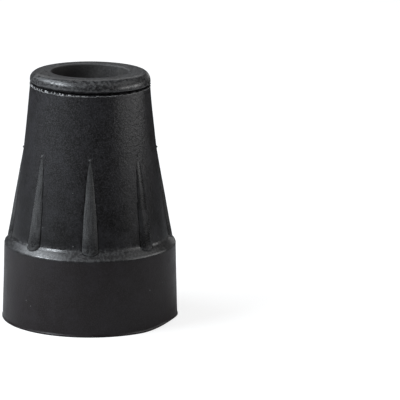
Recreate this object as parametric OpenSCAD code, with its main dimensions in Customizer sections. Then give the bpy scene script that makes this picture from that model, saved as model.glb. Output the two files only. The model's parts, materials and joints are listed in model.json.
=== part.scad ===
/* [Overall] */
// Height of the tip from the tread to the flat lip
tip_h = 59.5; // [54:0.5:75]
// Diameter of the foot at the ground, over the mould line
base_d = 42.2; // [41:0.1:54]

/* [Bore] */
// Diameter of the bore that grips the shaft, unstretched
bore_d = 18.2; // [12:0.1:20]
// Depth of the bore from the flat lip
bore_depth = 43; // [25:0.5:45]
// Width of the broken edge round the mouth of the bore
mouth_break = 0.35; // [0.1:0.05:0.6]

/* [Lip] */
// Largest diameter of the rolled lip
lip_d = 28.5; // [28:0.1:32]
// Height of the rolled lip, from its underside to the flat top
lip_h = 2.5; // [2.4:0.05:4]
// Radius of the roll from the flat top to the side of the lip
lip_roll = 2; // [1:0.05:2.1]
// Radius under the lip, where its side turns in to the groove
lip_under = 0.35; // [0.15:0.05:0.45]

/* [Groove under the lip] */
// Height of the groove between the lip and the rim of the flank
groove_h = 0.65; // [0.3:0.05:1.5]
// Depth of the groove behind the side of the lip
groove_depth = 0.75; // [0.4:0.05:1.5]

/* [Flank] */
// Diameter of the flank at its rim, just under the groove
rim_d = 28.4; // [27.4:0.1:32]
// Diameter of the flank at its foot, where it meets the shoulder
flank_foot_d = 37.6; // [34:0.1:39]
// How far the flank bows in from a straight cone at half its height
flank_hollow = 0.4; // [0:0.05:0.8]

/* [Foot band] */
// Height of the band at the ground, up to the shoulder
band_h = 18.1; // [12:0.1:22]
// Diameter of the band at its top edge
band_top_d = 40.9; // [40:0.1:42]
// Radius of the top edge of the band
band_round = 0.3; // [0.2:0.05:0.8]
// Height of the sloping shoulder between the band and the flank
shoulder_h = 2; // [0.8:0.1:3]
// How far the mould line stands out at the ground
mould_line = 0.15; // [0.05:0.05:0.3]
// Height of the mould line
mould_line_h = 0.6; // [0.3:0.1:1.2]

/* [Ribs] */
// Number of ribs round the flank
rib_count = 8; // [4:1:12]
// Height at which a rib runs out into the flank
rib_tip_z = 41.4; // [34:0.1:46]
// Height of the middle of a rib's round nose above the shoulder
rib_nose_rise = 0.1; // [0:0.05:2]
// How far a rib stands out of the flank at its nose
rib_proud = 0.9; // [0.7:0.05:1.6]
// Radius of a rib at its nose
rib_nose_r = 2.75; // [1.8:0.05:3]
// Radius of a rib where it runs out
rib_tip_r = 1; // [0.8:0.1:2.2]
// Length of the rib that stays buried in the flank past its tip
rib_bury = 3; // [2:0.5:4]

/* [Tread] */
// Width of the outer ring that meets the ground
outer_ring_w = 5.4; // [3.5:0.1:6]
// Width of the outer groove at the ground
outer_groove_w = 4; // [2.5:0.1:4.5]
// Width of the middle ring at the ground
mid_ring_w = 4.2; // [2.5:0.1:4.5]
// Diameter of the boss in the middle
boss_d = 8.8; // [6:0.1:10]
// Depth of the grooves between the rings
tread_depth = 3.3; // [2:0.1:5]
// How far each groove wall leans over its depth
tread_draft = 0.5; // [0.2:0.05:0.9]
// Size of the sloping edge inside the outer ring
ring_edge = 1.2; // [0.4:0.1:1.8]

/* [Hidden] */
$fn = 96;

// Number of steps that a small radius is drawn with
arc_steps = 6;
// Number of straight lengths that the flank's curve is drawn with
flank_steps = 10;
// How far a cutting solid runs past the face that it cuts
past = 1;

// Radii of the outside, from the ground up
base_r = base_d / 2;
band_top_r = band_top_d / 2;
flank_foot_r = flank_foot_d / 2;
rim_r = rim_d / 2;
lip_r = lip_d / 2;
groove_r = lip_r - groove_depth;
bore_r = bore_d / 2;

// Heights of the outside, from the ground up
flank_foot_z = band_h + shoulder_h;
lip_under_z = tip_h - lip_h;
rim_z = lip_under_z - groove_h;
bore_floor_z = tip_h - bore_depth;

// Radii of the tread, from the outer ring in to the boss
outer_ring_in = base_r - outer_ring_w;
mid_ring_out = outer_ring_in - outer_groove_w;
mid_ring_in = mid_ring_out - mid_ring_w;
boss_r = boss_d / 2;

// Angles at which the faces of the band and the shoulder look out
band_facing = atan2(base_r - mould_line - band_top_r, band_h - mould_line_h);
shoulder_facing = atan2(band_top_r - flank_foot_r, shoulder_h);

// Centre line of a rib, from the middle of its nose to where it runs out
rib_nose_z = flank_foot_z + rib_nose_rise;
rib_nose_out = flank_r(rib_nose_z) + rib_proud - rib_nose_r;
rib_tip_out = flank_r(rib_tip_z) - rib_tip_r;
rib_run = [rib_nose_out - rib_tip_out, rib_tip_z - rib_nose_z];
rib_lean = atan2(rib_run.x, rib_run.y);
rib_taper = (rib_nose_r - rib_tip_r) / norm(rib_run);
rib_len = norm(rib_run) + rib_bury;
rib_end_r = rib_nose_r - rib_taper * rib_len;

// Radius of the flank at a height: a cone that bows in by flank_hollow
function flank_r(z) =
    let (t = (z - flank_foot_z) / (rim_z - flank_foot_z))
    flank_foot_r + (rim_r - flank_foot_r) * t - 4 * flank_hollow * t * (1 - t);

// Points of an arc round a centre, from one angle to another
function arc(centre, r, from, to) =
    [for (i = [0:arc_steps])
        let (a = from + (to - from) * i / arc_steps)
        centre + r * [cos(a), sin(a)]];

// A corner rounded by a radius, between two faces that look out at the angles given
function rounded(corner, r, from, to) =
    let (middle = (from + to) / 2, back = r / cos((to - from) / 2))
    arc(corner - back * [cos(middle), sin(middle)], r, from, to);

// Half section of the whole tip with no bore, from the tread's middle round to the top
module section() {
    tread = [
        [0, 0], [boss_r, 0], [boss_r + tread_draft, tread_depth],
        [mid_ring_in - tread_draft, tread_depth], [mid_ring_in, 0],
        [mid_ring_out, 0], [mid_ring_out + tread_draft, tread_depth],
        [outer_ring_in - tread_draft, tread_depth], [outer_ring_in, ring_edge],
        [outer_ring_in + ring_edge, 0], [base_r, 0]
    ];
    band = concat(
        [[base_r, mould_line_h / 2], [base_r - mould_line, mould_line_h]],
        rounded([band_top_r, band_h], band_round, band_facing, shoulder_facing)
    );
    flank = [for (i = [0:flank_steps])
        let (z = flank_foot_z + (rim_z - flank_foot_z) * i / flank_steps)
        [flank_r(z), z]];
    lip = concat(
        [[groove_r, rim_z + groove_h / 2]],
        rounded([lip_r, lip_under_z], lip_under, -90, 0),
        rounded([lip_r, tip_h], lip_roll, 0, 90)
    );
    polygon(concat(tread, band, flank, lip, [[0, tip_h]]));
}

// One rib: a slim bullet with a round nose, laid along the flank and sunk in it
module rib() {
    translate([rib_nose_out, 0, rib_nose_z])
        rotate([0, -rib_lean, 0])
            rotate_extrude()
                polygon(concat(
                    arc([0, 0], rib_nose_r, -90, 0),
                    [[rib_end_r, rib_len], [0, rib_len]]
                ));
}

// The bore for the shaft, with a broken edge at its mouth
module bore() {
    translate([0, 0, bore_floor_z])
        cylinder(h = bore_depth + past, r = bore_r);
    translate([0, 0, tip_h - mouth_break])
        cylinder(h = mouth_break + past, r1 = bore_r, r2 = bore_r + mouth_break + past);
}

// The tip as it leaves the mould: one piece of rubber
module rubber_tip() {
    color([0.2, 0.2, 0.21])
        difference() {
            union() {
                rotate_extrude()
                    section();
                for (i = [0:rib_count - 1])
                    rotate([0, 0, i * 360 / rib_count - 90])
                        rib();
            }
            bore();
        }
}

rubber_tip();
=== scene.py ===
# %% [markdown]
# ## A rubber tip for a walking stick
# The object is one moulding of black rubber, about as tall as a thumb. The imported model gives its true
# form, and this script dresses it: a finer mesh with the unevenness of a real moulding, a rubber finish,
# a pale floor, soft light and the camera.
# Loading the frame comes first, because every size below is taken from it.

# %% The frame
import json
import math

import bmesh
import bpy
from mathutils import Matrix, Quaternion, Vector, noise

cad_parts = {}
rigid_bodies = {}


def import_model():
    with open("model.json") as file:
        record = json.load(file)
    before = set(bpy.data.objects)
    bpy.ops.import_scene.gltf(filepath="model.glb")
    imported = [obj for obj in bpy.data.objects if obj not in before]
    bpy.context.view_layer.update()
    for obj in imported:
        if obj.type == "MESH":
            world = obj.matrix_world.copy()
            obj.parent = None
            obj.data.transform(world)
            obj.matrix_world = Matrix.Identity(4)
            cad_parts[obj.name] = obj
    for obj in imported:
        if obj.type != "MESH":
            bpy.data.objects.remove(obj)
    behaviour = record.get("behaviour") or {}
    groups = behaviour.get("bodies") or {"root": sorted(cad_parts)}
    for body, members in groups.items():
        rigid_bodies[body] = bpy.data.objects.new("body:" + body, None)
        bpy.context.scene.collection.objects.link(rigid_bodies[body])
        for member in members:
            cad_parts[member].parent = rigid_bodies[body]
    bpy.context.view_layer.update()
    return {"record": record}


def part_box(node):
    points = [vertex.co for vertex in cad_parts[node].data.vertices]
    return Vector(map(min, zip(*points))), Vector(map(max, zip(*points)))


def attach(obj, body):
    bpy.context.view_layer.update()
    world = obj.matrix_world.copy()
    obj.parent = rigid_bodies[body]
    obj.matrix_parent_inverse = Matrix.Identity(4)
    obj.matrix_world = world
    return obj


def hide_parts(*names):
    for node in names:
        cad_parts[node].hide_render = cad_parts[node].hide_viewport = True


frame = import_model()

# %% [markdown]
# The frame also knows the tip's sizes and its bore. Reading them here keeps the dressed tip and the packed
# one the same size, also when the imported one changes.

MM = 0.001
tip_low, tip_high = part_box("rubber_tip")
tip_h = (tip_high.z - tip_low.z) / MM
base_r = (tip_high.x - tip_low.x) / 2 / MM
mounts = {m["name"]: m for m in frame["record"]["mounts"]}
bore_r = mounts["bore"]["dims"]["r_mm"]
print(f"tip {tip_h:.1f} mm tall, foot {2 * base_r:.1f} mm across, bore {2 * bore_r:.1f} mm")

# %% [markdown]
# ## The half section
# A round moulding is easiest to draw as half of its section, which is then spun round the axis. It could
# also be stacked up from cones, but the section keeps every height and radius in one place, as on a
# drawing. Each corner is given with the radius that rounds it, so the shape stays a short list.
# All of this is in millimetres. The finished mesh is scaled to metres at the end.

# %% Heights and radii of the outside
band_h, band_top_r, band_round = 18.1, 20.45, 0.25
flank_foot_z, flank_foot_r, flank_hollow = 20.1, 18.8, 0.4
lip_h, lip_r, lip_roll, lip_under = 2.5, 14.25, 2.0, 0.35
groove_h, groove_depth = 0.65, 1.1
rim_r = 14.2
lip_under_z = tip_h - lip_h
rim_z = lip_under_z - groove_h
mould_line, mould_line_h = 0.15, 0.6
print(f"flank from {flank_foot_z} to {rim_z:.2f} mm, lip from {lip_under_z:.2f} mm")


def flank_r(z):
    """Radius of the flank at a height: a cone that bows in a little."""
    t = (z - flank_foot_z) / (rim_z - flank_foot_z)
    return flank_foot_r + (rim_r - flank_foot_r) * t - 4 * flank_hollow * t * (1 - t)


# %% [markdown]
# The shoulder between the band and the flank isn't a straight cone. It swells a little, and a fine seam
# runs along its lower edge, where the two halves of the mould met. Both are drawn as an offset from the
# straight line. At its upper edge a narrow ledge leads over to the flank, which shows as a bright line.

# %% The shoulder
shoulder_swell, seam_proud, seam_at, seam_w = 0.12, 0.08, 0.14, 0.07
shoulder_steps, ledge_h, ledge_round = 8, 0.32, 0.3


def shoulder_point(t):
    """A point of the shoulder's section, from the band's top edge at 0 to the flank's foot at 1."""
    run = Vector((flank_foot_r - band_top_r, flank_foot_z - band_h))
    out = Vector((run.y, -run.x)).normalized()
    proud = shoulder_swell * 4 * t * (1 - t) + seam_proud * math.exp(-((t - seam_at) / seam_w) ** 2)
    return Vector((band_top_r, band_h)) + run * t + out * proud


shoulder = [(*shoulder_point(i / shoulder_steps), 0) for i in range(1, shoulder_steps - 1)]
shoulder.append((*shoulder_point(1 - 1 / shoulder_steps), ledge_round))
print(f"shoulder with {len(shoulder)} corners")

# %% [markdown]
# The tread is what grips the ground: an outer ring, a middle ring and a boss. The walls of the grooves
# between them lean by half a millimetre, so that the rubber came out of its mould. The widths count inward
# from the foot's edge, as a caliper takes them on the real tip.

# %% Radii of the tread and the bore
outer_ring_w, outer_groove_w, mid_ring_w, boss_r = 5.4, 4.0, 4.2, 4.4
tread_depth, tread_draft, ring_edge = 3.3, 0.5, 1.2
bore_depth, mouth_break = 43.0, 0.35
outer_ring_in = base_r - outer_ring_w
mid_ring_out = outer_ring_in - outer_groove_w
mid_ring_in = mid_ring_out - mid_ring_w
bore_floor_z = tip_h - bore_depth
print(f"tread {tread_depth} mm deep, rings inside at {outer_ring_in:.1f} and {mid_ring_in:.1f} mm")
print(f"bore floor at {bore_floor_z:.1f} mm")

# %% [markdown]
# The corners are listed in order, from the middle of the tread out, up the outside, over the lip and down
# the bore. Each is a reach from the axis, a height and the radius that rounds it.

# %% Corners of the tread and the foot
tread = [
    (0, 0, 0), (boss_r, 0, 0.25), (boss_r + tread_draft, tread_depth, 0.5),
    (mid_ring_in - tread_draft, tread_depth, 0.5), (mid_ring_in, 0, 0.35),
    (mid_ring_out, 0, 0.3), (mid_ring_out + tread_draft, tread_depth, 0.5),
    (outer_ring_in - tread_draft, tread_depth, 0.5), (outer_ring_in, ring_edge, 0.6),
    (outer_ring_in + ring_edge, 0, 0.6),
]
foot = [
    (base_r, 0, 0.08), (base_r, mould_line_h / 2, 0.1), (base_r - mould_line, mould_line_h, 0.15),
    (band_top_r, band_h, band_round),
]

# %% Corners of the flank, the lip and the bore
flank_steps = 12
flank = [(flank_r(flank_foot_z + ledge_h), flank_foot_z + ledge_h, ledge_round)]
for i in range(1, flank_steps):
    height = flank_foot_z + (rim_z - flank_foot_z) * i / flank_steps
    flank.append((flank_r(height), height, 0))
lip = [
    (rim_r, rim_z, 0.06), (lip_r - groove_depth, rim_z + groove_h / 2, 0.1),
    (lip_r, lip_under_z, lip_under), (lip_r, tip_h, lip_roll),
]
bore = [(bore_r, tip_h, mouth_break), (bore_r, bore_floor_z, 0.8), (0, bore_floor_z, 0)]
outline = tread + foot + shoulder + flank + lip + bore
print(f"half section with {len(outline)} corners")


# %% [markdown]
# ## From section to solid
# The section is first a flat face, so that a vertex bevel can round its corners: a bevel of one vertex
# with a profile of 0.5 is a true arc. Then only its edges are kept, long ones are cut into rows, and the
# spin turns them into a skin of four-sided faces. Rows are close on the outside, where light and wear
# have to show, and wide inside the bore.

# %% Rounding and cutting helpers
def round_corner(bm, vert, radius, segments=5):
    """Rounds the corner at a vertex that two edges meet in."""
    arms = [edge.other_vert(vert).co - vert.co for edge in vert.link_edges]
    turn = math.pi - arms[0].angle(arms[1])
    bmesh.ops.bevel(bm, geom=[vert], offset=radius * math.tan(turn / 2), offset_type="OFFSET",
                    affect="VERTICES", segments=segments, profile=0.5, material=-1)


def cut_rows(bm, step_at):
    """Cuts each edge into rows no longer than step_at gives for the edge's middle."""
    for edge in bm.edges[:]:
        middle = (edge.verts[0].co + edge.verts[1].co) / 2
        cuts = int(edge.calc_length() / step_at(middle))
        if cuts:
            bmesh.ops.subdivide_edges(bm, edges=[edge], cuts=cuts)


def keep_wire(bm):
    """Leaves only the edges of a flat section, without those that lie on the axis."""
    bmesh.ops.delete(bm, geom=bm.faces[:], context="FACES_ONLY")
    on_axis = [edge for edge in bm.edges if all(abs(v.co.x) < 0.0001 for v in edge.verts)]
    bmesh.ops.delete(bm, geom=on_axis, context="EDGES")


def spin_round(bm, steps):
    """Spins the edges once round the Z axis and closes the poles."""
    bmesh.ops.spin(bm, geom=bm.verts[:] + bm.edges[:], cent=(0, 0, 0), axis=(0, 0, 1),
                   angle=2 * math.pi, steps=steps, use_merge=True)
    bmesh.ops.remove_doubles(bm, verts=bm.verts[:], dist=0.0005)
    bmesh.ops.recalc_face_normals(bm, faces=bm.faces[:])


# %% [markdown]
# A spin of 320 steps makes faces a third of a millimetre wide, small enough to hold the ragged groove. The
# lip's roll is the roundest and brightest part, so it gets more segments than the other corners.

# %% Spin the body
around = 320
row, bore_row = 0.7, 4.0
roll_segments, corner_segments = 10, 4

body = bmesh.new()
corners = [body.verts.new((r, 0, z)) for r, z, _ in outline]
body.faces.new(corners)
for vert, (_, _, radius) in zip(corners, outline):
    if radius:
        round_corner(body, vert, radius, roll_segments if radius > 1 else corner_segments)
keep_wire(body)
cut_rows(body, lambda p: bore_row if p.x < bore_r + 0.1 and p.z > tread_depth + 1 else row)
spin_round(body, around)
print(f"body: {len(body.verts)} vertices, {len(body.faces)} faces")

# %% [markdown]
# ## The ribs
# Eight slim bullets lie along the flank, each sunk in it so that only its back and its round nose show.
# They stiffen the skirt and give the fingers a grip. Moving the flank's own vertices out would smear the
# crisp line where a rib meets the flank. Each rib is its own spun shape instead, and a Boolean union
# joins them, which keeps that line sharp.

# %% Sizes of a rib
rib_count, rib_around = 8, 48
rib_tip_z, rib_nose_rise, rib_proud = 41.2, -0.45, 1.0
rib_nose_r, rib_tip_r, rib_bury = 3.0, 1.1, 3.0

rib_nose_z = flank_foot_z + rib_nose_rise
rib_nose_out = flank_r(rib_nose_z) + rib_proud - rib_nose_r
rib_tip_out = flank_r(rib_tip_z) - rib_tip_r
rib_run = Vector((rib_tip_out - rib_nose_out, 0, rib_tip_z - rib_nose_z))
rib_len = rib_run.length + rib_bury
rib_end_r = rib_nose_r - (rib_nose_r - rib_tip_r) * rib_len / rib_run.length

# %% One rib, turned into eight
ribs = bmesh.new()
rib_section = [(0, 0, -rib_nose_r), (rib_nose_r, 0, -rib_nose_r), (rib_end_r, 0, rib_len), (0, 0, rib_len)]
rib_corners = [ribs.verts.new(p) for p in rib_section]
ribs.faces.new(rib_corners)
round_corner(ribs, rib_corners[1], rib_nose_r * 0.95, segments=14)
keep_wire(ribs)
cut_rows(ribs, lambda p: row)
spin_round(ribs, rib_around)

lean = Vector((0, 0, 1)).rotation_difference(rib_run).to_matrix().to_4x4()
to_flank = Matrix.Translation((rib_nose_out, 0, rib_nose_z)) @ lean
bmesh.ops.transform(ribs, matrix=to_flank, verts=ribs.verts[:])
bmesh.ops.rotate(ribs, matrix=Matrix.Rotation(-math.pi / 2, 3, "Z"), verts=ribs.verts[:])
one_rib = ribs.verts[:] + ribs.edges[:] + ribs.faces[:]
for i in range(1, rib_count):
    copy = bmesh.ops.duplicate(ribs, geom=one_rib)["geom"]
    turned = [v for v in copy if isinstance(v, bmesh.types.BMVert)]
    turn = Matrix.Rotation(2 * math.pi * i / rib_count, 3, "Z")
    bmesh.ops.rotate(ribs, matrix=turn, verts=turned)
print(f"ribs: {rib_count} of {rib_len:.1f} mm, {len(ribs.faces)} faces")

# %% [markdown]
# At the point where a rib runs out, the cutter that made the mould left a small pit, and the rubber has
# a pin-head there. It is a ball six tenths of a millimetre across, sunk in the flank, and it goes through
# the same union as the ribs.

# %% A pin-head at the point of each rib
pin_r, pin_out = 0.3, -0.05
pins = []
for i in range(rib_count):
    turn = 2 * math.pi * i / rib_count - math.pi / 2
    out = flank_r(rib_tip_z) + pin_out
    pins.append(Vector((out * math.cos(turn), out * math.sin(turn), rib_tip_z)))
    bmesh.ops.create_icosphere(ribs, subdivisions=2, radius=pin_r, matrix=Matrix.Translation(pins[i]))
print(f"pin-heads: {rib_count} of {2 * pin_r:.2f} mm")


# %% [markdown]
# The union is a Boolean modifier, which is worked out once and then put in place of the mesh, because the
# steps after it need the real vertices. The Manifold solver is quick and exact on closed shapes, and every
# spun shape here is closed.

# %% Join the ribs to the body
def new_object(name, bm):
    """A mesh object from a bmesh, linked to the scene."""
    mesh = bpy.data.meshes.new(name)
    bm.to_mesh(mesh)
    bm.free()
    obj = bpy.data.objects.new(name, mesh)
    bpy.context.scene.collection.objects.link(obj)
    return obj


tip = new_object("tip_moulding", body)
rib_tool = new_object("rib_tool", ribs)
union = tip.modifiers.new("ribs", "BOOLEAN")
union.operation = "UNION"
union.solver = "MANIFOLD"
union.object = rib_tool
joined = bpy.data.meshes.new_from_object(tip.evaluated_get(bpy.context.evaluated_depsgraph_get()))
tip.modifiers.clear()
tip.data = joined
bpy.data.objects.remove(rib_tool)
print(f"joined: {len(joined.vertices)} vertices, {len(joined.polygons)} faces")

# %% [markdown]
# ## Places with a look of their own
# Edges that stand out lose their bloom and turn paler, which also paints a highlight along them, and
# creases are painted black as shade. Where they are depends on the form, so each vertex gets two numbers
# from how far its neighbours lie behind it or in front of it.
# Four more numbers come from its place. They say where the ribs are, whose cutter left the mould
# smoother than the blasting did, how much bloom a rib has, which is less round the right side of the tip,
# where the missing bloom paints shade, where the mould was polished, which is the lip and, less so, the
# shoulder, and where dust stays, which is the bore. All six are kept in the mesh as attributes that the
# material can read.

# %% Helpers for places round the tip
def between(value, low, high):
    """0 at low, 1 at high, eased in between."""
    t = min(max((value - low) / (high - low), 0), 1)
    return t * t * (3 - 2 * t)


def bearing(p):
    """Degrees round the axis, 0 at the front (-Y) and 90 on the right (+X)."""
    return math.degrees(math.atan2(p.x, -p.y))


def near_bearing(p, middle, reach):
    """1 at a bearing, falling to 0 at reach degrees from it."""
    away = abs((bearing(p) - middle + 180) % 360 - 180)
    return 1 - between(away, 0, reach)


# %% Marks that come from a vertex's place
rib_low, rib_high = 0.005, 0.05
# Ribs round the right side get less bloom, which paints shade on them.
shaded_side_middle, shaded_side_reach, shaded_side_share = 50, 45, 0.8
shoulder_polish = 0.6
mouth_r = bore_r + mouth_break / 2


def rib_at(vert):
    """1 on the back of a rib, 0 on the flank."""
    proud = math.hypot(vert.co.x, vert.co.y) - flank_r(vert.co.z)
    return between(proud, rib_low, rib_high) if flank_foot_z < vert.co.z < rib_tip_z + pin_r else 0


def rib_bloom_and_shade_at(vert):
    """How much grey bloom a rib carries: less round the right side, where this paints shade."""
    return rib_at(vert) * (1 - shaded_side_share * near_bearing(vert.co, shaded_side_middle, shaded_side_reach))


def polish_at(vert):
    """How polished the mould was, 0 where it was blasted."""
    if band_h < vert.co.z < flank_foot_z + row:
        return shoulder_polish
    return 1 if vert.co.z > lip_under_z and math.hypot(vert.co.x, vert.co.y) > mouth_r else 0


def dust_at(vert):
    """1 inside the bore."""
    return 1 if math.hypot(vert.co.x, vert.co.y) < mouth_r and vert.co.z > tread_depth + 1 else 0


# %% Marks that come from how the surface bends
# Sharp edges and pin-heads are painted paler: partly wear, and partly a painted highlight along them.
edge_gain, edge_low, pin_rubbed_highlit = 5.0, 0.2, 0.8
crease_low, crease_high = 0.15, 0.5


def bend_at(vert):
    """How far the surface bends: above 0 on an edge, below 0 in a crease."""
    fall = 0
    for edge in vert.link_edges:
        way = edge.other_vert(vert).co - vert.co
        fall -= way.normalized().dot(vert.normal)
    return fall / len(vert.link_edges) * edge_gain


def crease_at(vert):
    """1 in a sharp crease, 0 where the surface is flat or bends outward."""
    return between(-bend_at(vert), crease_low, crease_high)


def edge_at(vert):
    """1 on a sharp edge, 0 on flat and hollow places, under the lip and at the freshly worn foot."""
    if rim_z - row < vert.co.z < lip_under_z or vert.co.z < mould_line_h + row:
        return 0
    if any((vert.co - pin).length < pin_r * 1.05 for pin in pins):
        return pin_rubbed_highlit
    return between(bend_at(vert), edge_low, 1)


# %% Write the marks
marks = {
    "rubbed": edge_at, "creased": crease_at, "ribbed": rib_at,
    "bloomed": rib_bloom_and_shade_at, "polished": polish_at, "dusty": dust_at,
}


def mark_places(obj):
    """Writes one attribute for each mark at every vertex of a mesh in its true form."""
    mesh = obj.data
    bm = bmesh.new()
    bm.from_mesh(mesh)
    bm.normal_update()
    for name, find in marks.items():
        values = [find(vert) for vert in bm.verts]
        mesh.attributes.new(name, "FLOAT", "POINT").data.foreach_set("value", values)
        print(f"{obj.name}: {sum(value > 0.5 for value in values)} vertices {name}")
    bm.free()


mark_places(tip)

# %% [markdown]
# ## Unevenness
# Rubber comes out of its mould a little crooked: the groove under the lip doesn't lie quite level, no
# face is as true as on a turned part, and use has rubbed one side of the foot away. A displacement
# modifier could do this, but the same movement has to reach the loose flash as well, so it is a plain
# function of place. The same step sinks each crease by a tenth of a millimetre, as the edge of a cutter
# leaves it in a mould.

# %% Sizes of the unevenness
shoulder_tilt = Vector((0.0, 0.008))
groove_tilt = Vector((-0.018, 0.004))
wave_height, wave_length = 0.05, 7.0
ripple_height, ripple_length = 0.018, 2.2
rag_height, rag_length = 0.16, 0.9
fill_depth, fill_level, fill_edge, fill_middle, fill_reach = 0.45, 0.6, 0.3, 75, 85
dip_depth, dip_middle, dip_reach = 0.4, -25, 100
wear_height, wear_in, wear_up, wear_middle, wear_reach = 0.85, 2.6, 3.0, 68, 34
even_mouth, uneven_from, uneven_up = 0.6, 2.5, 1.5
print(f"waves of {wave_height} mm, a groove ragged by {rag_height} mm, a foot worn by {wear_height} mm")


# %% How far a point is lifted and moved out
def in_zone(z, start, full_from, full_to, end):
    """0 up to start, 1 from full_from to full_to and 0 from end on, eased in between."""
    return between(z, start, full_from) * between(-z, -end, -full_to)


def in_groove(z):
    """1 at a height in the groove under the lip."""
    return in_zone(z, rim_z - 0.5, rim_z, lip_under_z, lip_under_z + 0.7)


def lift_at(p):
    """How far a point is lifted: the tilt of shoulder and groove, and the groove's ragged, dipping rim."""
    at_shoulder = in_zone(p.z, 2, band_h, flank_foot_z + 1, rib_tip_z)
    at_groove = in_zone(p.z, rib_tip_z, rim_z - 3, lip_under_z + 0.3, tip_h)
    at_rim = in_zone(p.z, rim_z - 2.5, rim_z - 0.3, lip_under_z - 0.2, lip_under_z - 0.02)
    tilt = shoulder_tilt * at_shoulder + groove_tilt * at_groove
    lift = tilt.x * p.x + tilt.y * p.y
    lift += noise.noise(p / rag_length) * rag_height * in_groove(p.z)
    return lift - near_bearing(p, dip_middle, dip_reach) * dip_depth * at_rim


def wave_at(p, reach):
    """How far a point is moved out: by waves, ripples, and rubber that fills part of the groove."""
    wave = noise.noise(p / wave_length) * wave_height + noise.noise(p / ripple_length) * ripple_height
    fill = near_bearing(p, fill_middle, fill_reach) * (fill_level + noise.noise(p / rag_length))
    return wave + fill * fill_depth * in_groove(p.z) * between(-reach, -rim_r, -rim_r + fill_edge)


# %% A function that makes a point uneven
def uneven(p):
    """Where a point of the true form lies on the uneven moulding, in millimetres."""
    reach = math.hypot(p.x, p.y)
    out = Vector((p.x, p.y, 0)).normalized()
    outside = between(reach, bore_r + even_mouth, bore_r + uneven_from) * between(p.z, 0.0, uneven_up)
    worn = near_bearing(p, wear_middle, wear_reach) * between(reach, base_r - wear_in, base_r)
    q = p + out * wave_at(p, reach) * outside
    q.z += lift_at(p) * outside + worn * wear_height * between(-p.z, -wear_up, 0)
    return q


# %% [markdown]
# The same function then moves every vertex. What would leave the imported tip's own cylinder or its height is
# brought back to it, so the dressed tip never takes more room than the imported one.

# %% Make the moulding uneven
crease_sink = 0.12


def finish_mesh(obj, crease):
    """Sinks a piece's creases, moves it with uneven, keeps it in the true box, and brings it to metres."""
    bm = bmesh.new()
    bm.from_mesh(obj.data)
    bm.normal_update()
    creased = bm.verts.layers.float["creased"]
    for vert in bm.verts:
        vert.co = uneven(vert.co - vert.normal * vert[creased] * crease_sink)
        reach = math.hypot(vert.co.x, vert.co.y)
        if reach > base_r:
            vert.co.x *= base_r / reach
            vert.co.y *= base_r / reach
        vert.co.z = min(max(vert.co.z, 0), tip_h)
    bmesh.ops.scale(bm, vec=(MM, MM, MM), verts=bm.verts[:])
    for face in bm.faces:
        face.smooth = True
    bm.to_mesh(obj.data)
    bm.free()
    obj.data.set_sharp_from_angle(angle=math.radians(crease))


finish_mesh(tip, crease=32)
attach(tip, "root")
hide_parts("rubber_tip")
print(f"moulding: {len(tip.data.polygons)} faces")

# %% [markdown]
# ## Flash in the groove
# Where the mould's parts met under the lip, a film of rubber squeezed out and tore off when the tip was
# pulled free. What is left is a ragged little fin that catches the light along the front and the left.
# It is a thin ring of its own, spun like the body, and noise gives every slice another height.

# %% Spin the fin
fin_steps = 1100
fin_section = [
    (rim_r - 0.25, rim_z - 0.25), (rim_r + 0.02, rim_z - 0.12), (rim_r + 0.1, rim_z + 0.3),
    (rim_r + 0.02, rim_z + 0.42), (rim_r - 0.08, rim_z + 0.3), (rim_r - 0.2, rim_z - 0.05),
]
fin_root_z = rim_z - 0.12
fin_bearing, fin_reach, fin_rest = -60, 95, 0.15
fin_length, fin_low, fin_high = 0.4, 0.08, 0.18

fin = bmesh.new()
ring = [fin.verts.new((r, 0, z)) for r, z in fin_section]
for a, b in zip(ring, ring[1:] + ring[:1]):
    fin.edges.new((a, b))
spin_round(fin, fin_steps)
for vert in fin.verts:
    if vert.co.z > fin_root_z:
        slice_at = Vector((vert.co.x, vert.co.y, 0))
        torn = between(noise.noise(slice_at / fin_length), fin_low, fin_high)
        kept = fin_rest + (1 - fin_rest) * near_bearing(vert.co, fin_bearing, fin_reach)
        vert.co.z = fin_root_z + (vert.co.z - fin_root_z) * torn * kept
flash = new_object("torn_flash", fin)
mark_places(flash)
finish_mesh(flash, crease=50)
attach(flash, "root")
print(f"flash: {len(flash.data.polygons)} faces")

# %% [markdown]
# ## The rubber
# Black rubber is never one flat black. It has a grain of a quarter of a millimetre, a thin grey bloom that
# lies in soft patches, specks of dust, and edges that are rubbed paler, which also paints a highlight along
# them. A painted picture could hold all this, but node textures have no seams and stay sharp close up, so
# each effect is a node group that reads the object's own coordinates, in metres. The material places them
# with its own values.
# The helpers come first. Each adds one node, sets or links its inputs and gives back what comes out.

# %% Helpers for nodes
def set_input(tree, socket, value):
    """Links a socket to another one, or sets its constant."""
    if isinstance(value, bpy.types.NodeSocket):
        tree.links.new(value, socket)
    else:
        socket.default_value = value


def add_node(tree, kind, settings=None, **inputs):
    """A node with its settings and its inputs, where an underscore stands for a space."""
    made = tree.nodes.new("ShaderNode" + kind)
    for name, value in (settings or {}).items():
        setattr(made, name, value)
    for name, value in inputs.items():
        set_input(tree, made.inputs[name.replace("_", " ")], value)
    return made


# %% Helpers for numbers and vectors
def maths(tree, operation, *values):
    """The result of a Math node on one, two or three values."""
    made = add_node(tree, "Math", {"operation": operation})
    for socket, value in zip(made.inputs, values):
        set_input(tree, socket, value)
    return made.outputs[0]


def vector_maths(tree, operation, *values):
    """The Vector Math node's outputs, for one or two vectors or a vector and its scale."""
    made = add_node(tree, "VectorMath", {"operation": operation})
    inputs = (made.inputs[0], made.inputs["Scale"]) if operation == "SCALE" else made.inputs
    for socket, value in zip(inputs, values):
        set_input(tree, socket, value)
    return made.outputs


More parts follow.
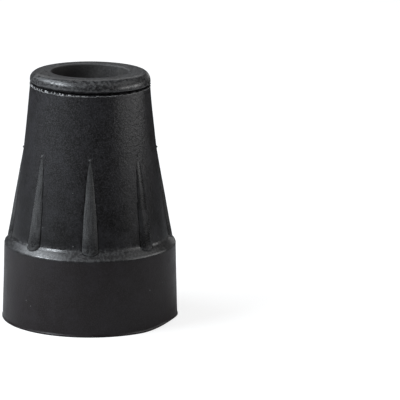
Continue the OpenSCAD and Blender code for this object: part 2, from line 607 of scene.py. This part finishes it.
def remap(tree, value, from_low, from_high, to_low=0.0, to_high=1.0):
    """A value stretched from one range to another, with smooth ends that never overshoot."""
    made = add_node(tree, "MapRange", {"interpolation_type": "SMOOTHSTEP"})
    for socket, number in zip(made.inputs, (value, from_low, from_high, to_low, to_high)):
        set_input(tree, socket, number)
    return made.outputs["Result"]


# %% Helpers for colours
def grey(level, warmth=0.0):
    """A grey as a colour, warmer above 0 and cooler below."""
    return (level * (1 + warmth), level, level * (1 - warmth), 1)


def blend_colour(tree, share, first, second):
    """First colour at a share of 0, second at 1."""
    return add_node(tree, "Mix", {"data_type": "RGBA"}, Factor=share, A=first, B=second).outputs["Result"]


# %% [markdown]
# A node group is built once and placed many times, as a function is called. The groups here all take a
# place and some numbers and put out masks or heights, so one helper makes their sockets and another one
# places them in a material.

# %% Helpers for node groups
def new_group(name, inputs, outputs):
    """An empty node group with named number sockets, and its input and output nodes."""
    tree = bpy.data.node_groups.new(name, "ShaderNodeTree")
    tree.interface.new_socket(name="Place", in_out="INPUT", socket_type="NodeSocketVector")
    for title, value in inputs.items():
        socket = tree.interface.new_socket(name=title, in_out="INPUT", socket_type="NodeSocketFloat")
        socket.default_value = value
    for title in outputs:
        tree.interface.new_socket(name=title, in_out="OUTPUT", socket_type="NodeSocketFloat")
    print(f"group {name}: {', '.join(inputs)} in, {', '.join(outputs)} out")
    return tree, tree.nodes.new("NodeGroupInput").outputs, tree.nodes.new("NodeGroupOutput").inputs


def place_group(tree, group, place, **inputs):
    """A group placed in a material, with its own values."""
    made = tree.nodes.new("ShaderNodeGroup")
    made.node_tree = group
    tree.links.new(place, made.inputs["Place"])
    for name, value in inputs.items():
        set_input(tree, made.inputs[name.replace("_", " ")], value)
    return made.outputs


# %% [markdown]
# The grain is the imprint of the mould's blasted steel. One noise a quarter of a millimetre across gives
# both the speckle in the colour and the height that breaks up the highlights, so light and dark specks
# sit where the bumps are.

# %% Group: grain
grain_group, given, out = new_group("grain", {"Scale": 3800, "Low": 0.4, "High": 0.7}, ["Speckle", "Height"])
fine = add_node(grain_group, "TexNoise", Vector=given["Place"], Scale=given["Scale"], Detail=2.0,
                Roughness=0.6)
speckle = remap(grain_group, fine.outputs["Fac"], given["Low"], given["High"])
grain_group.links.new(speckle, out["Speckle"])
grain_group.links.new(fine.outputs["Fac"], out["Height"])

# %% [markdown]
# Bloom is wax and dust that comes to the surface of old rubber. It lies in cloudy patches a few
# millimetres across, so two noises of different size are multiplied: one gives the clouds, the other
# tears their edges.

# %% Group: bloom
bloom_group, given, out = new_group("bloom", {"Cloud Scale": 260, "Tear Scale": 1100}, ["Mask"])
cloud = add_node(bloom_group, "TexNoise", Vector=given["Place"], Scale=given["Cloud Scale"], Detail=3.0)
tear = add_node(bloom_group, "TexNoise", Vector=given["Place"], Scale=given["Tear Scale"], Detail=2.0)
soft_cloud = remap(bloom_group, cloud.outputs["Fac"], 0.35, 0.7)
soft_tear = remap(bloom_group, tear.outputs["Fac"], 0.3, 0.65, 0.35, 1.0)
bloom_group.links.new(maths(bloom_group, "MULTIPLY", soft_cloud, soft_tear), out["Mask"])

# %% [markdown]
# The lip and the shoulder carry fine scuffs that run round the tip, from turning in its mould and from
# being wiped. A noise on plain coordinates would be as long as it is wide. This one reads the direction
# from the axis for the way round, and height less reach for the way across, so the scuffs lie along the
# rings and have no seam.

# %% Group: scuffs
scuff_inputs = {"Around": 9, "Across": 2200, "Low": 0.45, "High": 0.75}
scuff_group, given, out = new_group("scuffs", scuff_inputs, ["Mask"])
here = add_node(scuff_group, "SeparateXYZ", Vector=given["Place"]).outputs
flat = add_node(scuff_group, "CombineXYZ", X=here["X"], Y=here["Y"]).outputs["Vector"]
way_out = vector_maths(scuff_group, "NORMALIZE", flat)["Vector"]
reach = vector_maths(scuff_group, "LENGTH", flat)["Value"]
across = maths(scuff_group, "MULTIPLY", maths(scuff_group, "SUBTRACT", here["Z"], reach), given["Across"])
rings = add_node(scuff_group, "CombineXYZ", Z=across).outputs["Vector"]
along = vector_maths(scuff_group, "SCALE", way_out, given["Around"])["Vector"]
scuff_place = vector_maths(scuff_group, "ADD", along, rings)["Vector"]
scuff = add_node(scuff_group, "TexNoise", Vector=scuff_place, Scale=1.0, Detail=3.0, Roughness=0.65)
scuff_group.links.new(remap(scuff_group, scuff.outputs["Fac"], given["Low"], given["High"]), out["Mask"])

# %% [markdown]
# Dust specks are points, not clouds. A Voronoi texture gives each cell a middle and a random colour: the
# distance to the middle draws the speck, and the random colour lets only a few cells have one.

# %% Group: specks
speck_group, given, out = new_group("specks", {"Scale": 1000, "Share": 0.02, "Size": 0.1}, ["Mask"])
cells = add_node(speck_group, "TexVoronoi", Vector=given["Place"], Scale=given["Scale"])
chance = add_node(speck_group, "SeparateColor", Color=cells.outputs["Color"])
chosen = maths(speck_group, "LESS_THAN", chance.outputs["Red"], given["Share"])
times = maths(speck_group, "ADD", 0.5, chance.outputs["Green"])
own_size = maths(speck_group, "MULTIPLY", given["Size"], times)
inside = maths(speck_group, "LESS_THAN", cells.outputs["Distance"], own_size)
speck_group.links.new(maths(speck_group, "MULTIPLY", chosen, inside), out["Mask"])

# %% [markdown]
# ## Where each effect lies
# The same masks steer the colour, the roughness, the coat and the bumps, so they are worked out once and
# kept by name. The grain is weaker low on the tip and on the ribs. Two groups are placed a second time
# with coarser values. The grain group gives dull spots, where grime has settled on the lip and the
# shoulder, and the scuff group gives the strokes that a cutter left along the ribs. The pale bloom of a
# rib fades towards its nose, which paints shade on the nose.

# %% Masks of the rubber
mark_names = ("rubbed", "creased", "ribbed", "bloomed", "polished", "dusty")
spot_values = {"Scale": 1500, "Low": 0.46, "High": 0.6}
stroke_values = {"Around": 40, "Across": 300, "Low": 0.35, "High": 0.65}
grain_low_z, grain_high_z, grain_least, rib_grain = 0.018, 0.045, 0.4, 0.3
# The rib's bloom fades towards the nose, which paints shade on the nose's lower part.
nose_shade_low_z, nose_shade_high_z, nose_shade_least = 0.019, 0.026, 0.1


def rubber_masks(tree):
    """Sockets that say where each effect shows and how strongly, by name."""
    at = {name: add_node(tree, "Attribute", {"attribute_name": name}).outputs["Fac"] for name in mark_names}
    place = add_node(tree, "TexCoord").outputs["Object"]
    at["height"] = add_node(tree, "SeparateXYZ", Vector=place).outputs["Z"]
    at["bloom"] = place_group(tree, bloom_group, place)["Mask"]
    at["specks"] = place_group(tree, speck_group, place)["Mask"]
    at["scuffs"] = place_group(tree, scuff_group, place)["Mask"]
    grain = place_group(tree, grain_group, place)
    spots = place_group(tree, grain_group, place, **spot_values)
    strokes = place_group(tree, scuff_group, place, **stroke_values)["Mask"]
    at["grain"], at["grain bumps"], at["spot bumps"] = grain["Speckle"], grain["Height"], spots["Height"]
    by_height = remap(tree, at["height"], grain_low_z, grain_high_z, grain_least, 1.0)
    at["coarse"] = maths(tree, "MULTIPLY", by_height, remap(tree, at["ribbed"], 0, 1, 1.0, rib_grain))
    nose_shading = remap(tree, at["height"], nose_shade_low_z, nose_shade_high_z, nose_shade_least, 1.0)
    at["pale rib"] = maths(tree, "MULTIPLY", at["bloomed"], nose_shading)
    at["stroked"] = maths(tree, "MULTIPLY", at["pale rib"], strokes)
    at["scuffed"] = maths(tree, "MULTIPLY", at["polished"], at["scuffs"])
    at["spotted"] = maths(tree, "MULTIPLY", at["polished"], spots["Speckle"])
    return at


# %% [markdown]
# The colour is built as paint is, one thin layer over another. Each layer has a colour and the share in
# which it covers what lies under it. Bloom and dust are greyer than the rubber, the band is a little
# warmer, from the dirt that is trodden into it, rubbed edges are paler and also carry a painted highlight,
# and creases are painted black as shade, since light hardly gets into them.

# %% Colour of the rubber
bloom_colour, band_colour = (0.035, 0.034, 0.04, 1), (0.034, 0.019, 0.021, 1)
band_low_z, band_high_z = 0.0172, 0.0184
bloom_share, band_share, rib_share, stroke_share, scuff_share, spot_share = 0.4, 0.25, 0.8, 0.5, 0.6, 0.8
rib_grey, stroke_grey, scuff_grey, spot_grey = 0.065, 0.12, 0.04, 0.1
dust_grey, edge_wear_highlight_grey, speck_grey, crease_shade_grey = 0.06, 0.3, 0.16, 0.002
dust_warmth, dust_least, edge_range = 0.05, 0.5, 0.4


def rubber_colour(tree, at, base, pale, paleness):
    """The base colour with pale grains, under layers of bloom, dust, wear, and painted highlight and shade.
    """
    dust = maths(tree, "MULTIPLY", at["dusty"], remap(tree, at["bloom"], 0, 1, dust_least, 1.0))
    streaks = remap(tree, at["scuffs"], 0, 1, paleness, paleness + edge_range)
    layers = [
        (maths(tree, "MULTIPLY", at["grain"], at["coarse"]), pale),
        (maths(tree, "MULTIPLY", at["bloom"], bloom_share), bloom_colour),
        (remap(tree, at["height"], band_low_z, band_high_z, band_share, 0.0), band_colour),
        (maths(tree, "MULTIPLY", at["pale rib"], rib_share), grey(rib_grey)),
        (maths(tree, "MULTIPLY", at["stroked"], stroke_share), grey(stroke_grey)),
        (maths(tree, "MULTIPLY", at["scuffed"], scuff_share), grey(scuff_grey)),
        (maths(tree, "MULTIPLY", at["spotted"], spot_share), grey(spot_grey)),
        (dust, grey(dust_grey, dust_warmth)),
        # Sharp edges: paler from rubbing, and a painted highlight.
        (maths(tree, "MULTIPLY", at["rubbed"], streaks), grey(edge_wear_highlight_grey)),
        (at["specks"], grey(speck_grey)),
        # Creases: painted shade.
        (at["creased"], grey(crease_shade_grey)),
    ]
    colour = base
    for share, layer in layers:
        colour = blend_colour(tree, share, colour, layer)
    return colour


# %% [markdown]
# The roughness follows the same masks. A polished mould leaves smoother rubber, while dust, spots and
# creases are dull. The changes are added one by one, so that each can be tuned by itself.

# %% Roughness of the rubber
rough_low, rough_high = 0.3, 0.38
rough_changes = {
    "bloom": 0.12, "ribbed": -0.08, "polished": -0.04, "scuffed": 0.06, "spotted": 0.25, "dusty": 0.25,
    "creased": 0.4,
}


def rubber_roughness(tree, at):
    """The roughness of the grain, changed by each mask in turn."""
    rough = remap(tree, at["grain"], 0, 1, rough_low, rough_high)
    for name, change in rough_changes.items():
        rough = maths(tree, "MULTIPLY_ADD", at[name], change, rough)
    return rough


# %% [markdown]
# On the lip and the shoulder the light lies in crisp streaks, although the rubber there is grainy. One
# rough surface can't do both. A coat can: it is a second, smoother surface over the first, which the
# bumps don't reach, and it stands for the skin that a polished mould leaves. Scuffs and spots break it,
# and the ribs have a thin one.

# %% Coat of the rubber
polish_coat, scuffed_coat, spotted_coat, rib_coat = 0.9, 0.2, 0.2, 0.25


def rubber_coat(tree, at):
    """How much coat there is: most where the mould was polished, none in a crease."""
    past_scuffs = remap(tree, at["scuffs"], 0, 1, polish_coat, polish_coat * scuffed_coat)
    past_spots = remap(tree, at["spotted"], 0, 1, 1.0, spotted_coat)
    coat = maths(tree, "MULTIPLY", at["polished"], past_scuffs)
    coat = maths(tree, "MULTIPLY", coat, past_spots)
    coat = maths(tree, "MAXIMUM", coat, maths(tree, "MULTIPLY", at["pale rib"], rib_coat))
    return maths(tree, "MULTIPLY", coat, maths(tree, "SUBTRACT", 1.0, at["creased"]))


# %% [markdown]
# The bumps are the heights of grain and spots together, then scuffs and strokes on top. They are too fine
# for the mesh, so a Bump node turns them into tilted normals.

# %% Bumps of the rubber
spot_height, scuff_height, stroke_height = 1.5, 0.12, 0.3


def rubber_bumps(tree, at):
    """The height for the Bump node, in shares of the grain's depth."""
    bumps = maths(tree, "MULTIPLY_ADD", at["spot bumps"], spot_height, at["grain bumps"])
    bumps = maths(tree, "MULTIPLY", bumps, at["coarse"])
    bumps = maths(tree, "MULTIPLY_ADD", at["scuffed"], scuff_height, bumps)
    return maths(tree, "MULTIPLY_ADD", at["stroked"], stroke_height, bumps)


# %% [markdown]
# Now the parts meet in one Principled shader. The moulding and the flash are the same rubber with the
# same effects, but a torn film is whitish where it was stretched, and the flash's far paler colours also
# paint the highlight that the fin catches.

# %% Rubber materials
specular_level, coat_roughness = 0.45, 0.22
black, black_grains, black_depth, black_paleness = grey(0.005, 0.06), (0.052, 0.049, 0.053, 1), 0.00005, 0.15
# The flash's pale colours are partly whitening and partly a painted highlight.
torn, torn_highlit_grains, torn_depth, torn_highlit_paleness = grey(0.4), grey(0.75), 0.00003, 0.5


def rubber_material(name, base, pale, depth, paleness):
    """Rubber of a base colour with pale grains of a depth in metres, and edges of a paleness."""
    material = bpy.data.materials.new(name)
    material.use_nodes = True
    tree = material.node_tree
    shader = tree.nodes["Principled BSDF"]
    at = rubber_masks(tree)
    tree.links.new(rubber_colour(tree, at, base, pale, paleness), shader.inputs["Base Color"])
    tree.links.new(rubber_roughness(tree, at), shader.inputs["Roughness"])
    tree.links.new(rubber_coat(tree, at), shader.inputs["Coat Weight"])
    bump = add_node(tree, "Bump", Distance=depth, Height=rubber_bumps(tree, at))
    tree.links.new(bump.outputs["Normal"], shader.inputs["Normal"])
    shader.inputs["Specular IOR Level"].default_value = specular_level
    shader.inputs["Coat Roughness"].default_value = coat_roughness
    print(f"{name}: {len(tree.nodes)} nodes")
    return material


black_rubber = rubber_material("black_rubber", black, black_grains, black_depth, black_paleness)
torn_rubber = rubber_material("torn_rubber", torn, torn_highlit_grains, torn_depth, torn_highlit_paleness)
for obj, material in ((tip, black_rubber), (flash, torn_rubber)):
    obj.data.materials.clear()
    obj.data.materials.append(material)

# %% [markdown]
# ## Floor, background and light
# The tip stands on a plain white floor that meets a white background with no line between them. A floor
# lit until it is white would flood the object with light. Instead the camera alone sees it with a white
# glow added, under which the shadow still shows. To every other ray it is a matt sheet whose grey paints
# the light and shade of a table beside a window: brightest on the left and in a painted pool of light
# round the tip, and dimmer to the right, to the viewer and to the back. So the rubber mirrors a bright
# sheet on its left and a dim room in the middle.

# %% How bright the floor is to the rubber
# These greys paint light and shade on the floor, for the rays that the rubber mirrors.
floor_shade_grey, floor_light_grey, dim_edge, bright_edge, turn_in = 0.15, 0.85, -0.03, 0.12, 0.1
back_y, far_y, far_share = -0.02, 0.16, 0.12
floor_pool_grey, near_r, away_r = 0.5, 0.1, 0.22


def floor_painted_light(tree):
    """The floor's painted light and shade: a bright sheet on the left that dims to the back, and a painted
    pool of light round the tip.
    """
    place = add_node(tree, "TexCoord").outputs["Object"]
    here = add_node(tree, "SeparateXYZ", Vector=place).outputs
    leftward = maths(tree, "SUBTRACT", maths(tree, "MULTIPLY", here["Y"], turn_in), here["X"])
    sheet = remap(tree, leftward, dim_edge, bright_edge, floor_shade_grey, floor_light_grey)
    sheet = maths(tree, "MULTIPLY", sheet, remap(tree, here["Y"], back_y, far_y, 1.0, far_share))
    away = vector_maths(tree, "LENGTH", place)["Value"]
    return maths(tree, "MAXIMUM", sheet, remap(tree, away, near_r, away_r, floor_pool_grey, 0.0))


def mix_shaders(tree, share, first, second):
    """First shader at a share of 0, second at 1."""
    made = add_node(tree, "MixShader", Fac=share)
    tree.links.new(first.outputs[0], made.inputs[1])
    tree.links.new(second.outputs[0], made.inputs[2])
    return made


# %% [markdown]
# From beneath, the floor lets the camera see through, so that a view of the tread isn't blocked. The
# Geometry node's Backfacing output tells the two sides apart.

# %% Floor
floor_half = 3.0
seen_grey, seen_glow = 0.4, 0.8

floor_bm = bmesh.new()
bmesh.ops.create_grid(floor_bm, x_segments=1, y_segments=1, size=floor_half)
floor = new_object("floor", floor_bm)
floor_paint = bpy.data.materials.new("floor_paint")
floor_paint.use_nodes = True
tree = floor_paint.node_tree
tree.nodes.remove(tree.nodes["Principled BSDF"])
seen = add_node(tree, "AddShader")
tree.links.new(add_node(tree, "BsdfDiffuse", Color=grey(seen_grey)).outputs[0], seen.inputs[0])
tree.links.new(add_node(tree, "Emission", Color=grey(1.0), Strength=seen_glow).outputs[0], seen.inputs[1])
mirrored = add_node(tree, "BsdfDiffuse", Color=floor_painted_light(tree))
above = mix_shaders(tree, add_node(tree, "LightPath").outputs["Is Camera Ray"], mirrored, seen)
beneath = add_node(tree, "BsdfTransparent")
surface = mix_shaders(tree, add_node(tree, "NewGeometry").outputs["Backfacing"], above, beneath)
tree.links.new(surface.outputs[0], tree.nodes["Material Output"].inputs["Surface"])
floor.data.materials.append(floor_paint)
print(f"floor: {2 * floor_half:.0f} m across")

# %% [markdown]
# The world is white to the camera only. To everything else it is a dim room, because a white world would
# light the tip from all sides and take the black out of the rubber.

# %% World
room_level, seen_level = 0.04, 1.0
world = bpy.data.worlds.new("studio")
world.use_nodes = True
bpy.context.scene.world = world
tree = world.node_tree
to_camera = add_node(tree, "LightPath").outputs["Is Camera Ray"]
level = add_node(tree, "Mix", {"data_type": "FLOAT"}, Factor=to_camera, A=room_level, B=seen_level)
backdrop = tree.nodes["Background"]
backdrop.inputs["Color"].default_value = grey(1.0)
tree.links.new(level.outputs["Result"], backdrop.inputs["Strength"])
print(f"world: {room_level} to the object, {seen_level} to the camera")


# %% [markdown]
# The light is that of a table beside a window. Black rubber shows less of the light that it scatters than
# of the lamps that it mirrors, so each soft box stands where one part of the form mirrors it. Azimuth is
# a bearing as above, 0 at the viewer and 90 on the right, and elevation is the height above the floor.

# %% A soft box
studio_middle = Vector((0, 0, tip_h / 2 * MM))


def soft_box(name, azimuth, elevation, width, height, power, distance=0.9, warmth=0.0):
    """A rectangular lamp that looks at the tip, with angles in degrees and sizes in metres."""
    turn, rise = math.radians(azimuth), math.radians(elevation)
    way = Vector((math.sin(turn) * math.cos(rise), -math.cos(turn) * math.cos(rise), math.sin(rise)))
    lamp = bpy.data.lights.new(name, "AREA")
    lamp.shape = "RECTANGLE"
    lamp.size, lamp.size_y, lamp.energy = width, height, power
    lamp.color = grey(1.0, warmth)[:3]
    obj = bpy.data.objects.new(name, lamp)
    obj.location = studio_middle + way * distance
    obj.rotation_mode = "QUATERNION"
    obj.rotation_quaternion = (-way).to_track_quat("-Z", "Y")
    obj.visible_camera = False
    bpy.context.scene.collection.objects.link(obj)
    print(f"lamp {name}: {power} W from {azimuth} and {elevation} degrees")
    return obj


# %% [markdown]
# The key is the window, and the two strips are its brightest part: the ledge, the shoulder and the lip
# mirror them as fine bright lines. Left back gives the left edge of the flank. On the right a broad dim
# box makes the soft band on the flank, and a small one close by lights the right edge of the foot. The
# rest fills in from above and behind, as a pale room does.

# %% Lamps
window_warmth = -0.06
soft_box("key", -90, 47, 0.9, 0.5, 4.5, warmth=window_warmth)
soft_box("key_strip", -67, 36.5, 0.55, 0.08, 4.0, warmth=window_warmth)
soft_box("left_strip", -92, 44, 0.35, 0.1, 0.5, warmth=window_warmth)
soft_box("left_back", -128, 32, 0.5, 0.3, 0.4, warmth=window_warmth)
soft_box("right_high", 82, 42, 0.8, 0.5, 0.8)
soft_box("right_near", 80, 15, 0.12, 0.03, 0.03, distance=0.12)
soft_box("front_top", -15, 42, 0.4, 0.4, 0.2)
soft_box("top", 0, 68, 0.7, 0.35, 0.3)
soft_box("behind", 180, 30, 0.6, 0.25, 0.3)
soft_box("behind_right", 160, 3, 0.3, 0.2, 0.12)

# %% [markdown]
# ## Camera
# The view is from a little above, through a long lens. Seven tenths of a metre away, the foot's front
# edge bends only slightly more than its back edge would. The focal length is known in pixels of the
# picture, and the sensor's width turns it into millimetres.

# %% Camera
image_px, focal_px, sensor_mm = 400, 2935.3, 36
distance, elevation, roll = 0.700, math.radians(12.86), math.radians(0.51)
aim = Vector((0.0262, 0, 0.0282))
place = Vector((0, -distance * math.cos(elevation), aim.z + distance * math.sin(elevation)))
camera_data = bpy.data.cameras.new("camera")
camera_data.sensor_width = sensor_mm
camera_data.lens = focal_px * sensor_mm / image_px
camera = bpy.data.objects.new("camera", camera_data)
camera.location = place
camera.rotation_mode = "QUATERNION"
camera.rotation_quaternion = (aim - place).to_track_quat("-Z", "Y") @ Quaternion((0, 0, 1), roll)
bpy.context.scene.collection.objects.link(camera)
bpy.context.scene.camera = camera
print(f"camera: lens of {camera_data.lens:.0f} mm, {distance} m away")

# %% [markdown]
# The Standard view transform shows colours as they are computed, so white stays white and the greys can be
# compared with a photograph.

# %% View transform
bpy.context.scene.view_settings.view_transform = "Standard"
